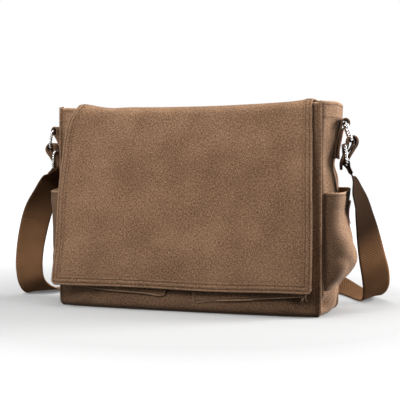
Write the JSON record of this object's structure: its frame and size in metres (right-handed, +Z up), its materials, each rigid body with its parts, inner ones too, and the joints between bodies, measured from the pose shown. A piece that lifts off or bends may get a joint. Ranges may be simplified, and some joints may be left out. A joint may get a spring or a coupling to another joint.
{
  "type": "messenger bag",
  "caption": "Canvas messenger bag with a long front flap over two patch pockets, a pocket on each side, and a webbing shoulder strap on rings and pin buckles.",
  "frame": {"origin": "centre of the base's underside, midway between the bag's side seams and between its front and back panels", "axes": "+X along the bag's width, to the right as it is seen from the front, -Y towards the front with the flap, +Z up"},
  "size_m": [0.5904, 0.3914, 0.3031],
  "materials": {
    "canvas": "washed brown cotton canvas, matt",
    "webbing": "dark brown twill webbing, matt",
    "lining": "plain dark lining cloth",
    "padding": "foam padding covered in lining cloth",
    "leather": "reddish tan leather, satin",
    "nickel": "polished nickel plate",
    "board": "stiff base board"
  },
  "bodies": {
    "bag": {"base_panel": "canvas", "front_panel": "canvas", "back_panel": "canvas", "left_gusset": "canvas", "right_gusset": "canvas", "lining": "lining", "base_board": "board", "laptop_divider": "padding", "left_front_pocket": "canvas", "right_front_pocket": "canvas", "left_snap_socket": "nickel", "right_snap_socket": "nickel", "left_side_pocket": "canvas", "right_side_pocket": "canvas", "side_pocket_tag": "leather", "left_anchor_tab": "canvas", "right_anchor_tab": "canvas", "left_anchor_facing": "leather", "right_anchor_facing": "leather", "shoulder_strap": "webbing"},
    "flap_top": {"flap_top_panel": "canvas", "flap_top_lining": "lining"},
    "flap_front": {"flap_front_panel": "canvas", "flap_front_lining": "lining", "left_snap_stud": "nickel", "right_snap_stud": "nickel"},
    "left_ring": {"left_ring": "nickel"},
    "left_belt": {"left_belt": "canvas", "left_buckle_frame": "nickel", "left_strap_end": "webbing"},
    "left_prong": {"left_buckle_prong": "nickel"},
    "right_ring": {"right_ring": "nickel"},
    "right_belt": {"right_belt": "canvas", "right_buckle_frame": "nickel", "right_strap_end": "webbing"},
    "right_prong": {"right_buckle_prong": "nickel"}
  },
  "joints": [
    {"name": "flap_back_fold", "type": "hinge", "parent": "bag", "child": "flap_top", "pos_m": [0, 0.0565, 0.3004], "axis": [-1, 0, 0], "range_deg": [0, 180]},
    {"name": "flap_front_fold", "type": "hinge", "parent": "flap_top", "child": "flap_front", "pos_m": [0, -0.0575, 0.3018], "axis": [-1, 0, 0], "range_deg": [0, 180]},
    {"name": "left_ring_swing", "type": "hinge", "parent": "bag", "child": "left_ring", "pos_m": [-0.22776, 0.00581, 0.2655], "axis": [0.2588, 0.9659, 0], "range_deg": [0, 60], "deforming": ["shoulder_strap"]},
    {"name": "left_belt_swing", "type": "hinge", "parent": "left_ring", "child": "left_belt", "pos_m": [-0.23307, 0.00724, 0.2395], "axis": [0.2588, 0.9659, 0], "range_deg": [0, 45]},
    {"name": "left_prong_swing", "type": "hinge", "parent": "left_belt", "child": "left_prong", "pos_m": [-0.2268, 0.00555, 0.208], "axis": [0.2588, 0.9659, 0], "range_deg": [0, 3]},
    {"name": "right_ring_swing", "type": "hinge", "parent": "bag", "child": "right_ring", "pos_m": [0.221, 0.004, 0.271], "axis": [0.2588, -0.9659, 0], "range_deg": [0, 60], "deforming": ["shoulder_strap"]},
    {"name": "right_belt_swing", "type": "hinge", "parent": "right_ring", "child": "right_belt", "pos_m": [0.22921, 0.0062, 0.246], "axis": [0.2588, -0.9659, 0], "range_deg": [0, 45]},
    {"name": "right_prong_swing", "type": "hinge", "parent": "right_belt", "child": "right_prong", "pos_m": [0.22293, 0.00452, 0.2145], "axis": [0.2588, -0.9659, 0], "range_deg": [0, 3]}
  ]
}
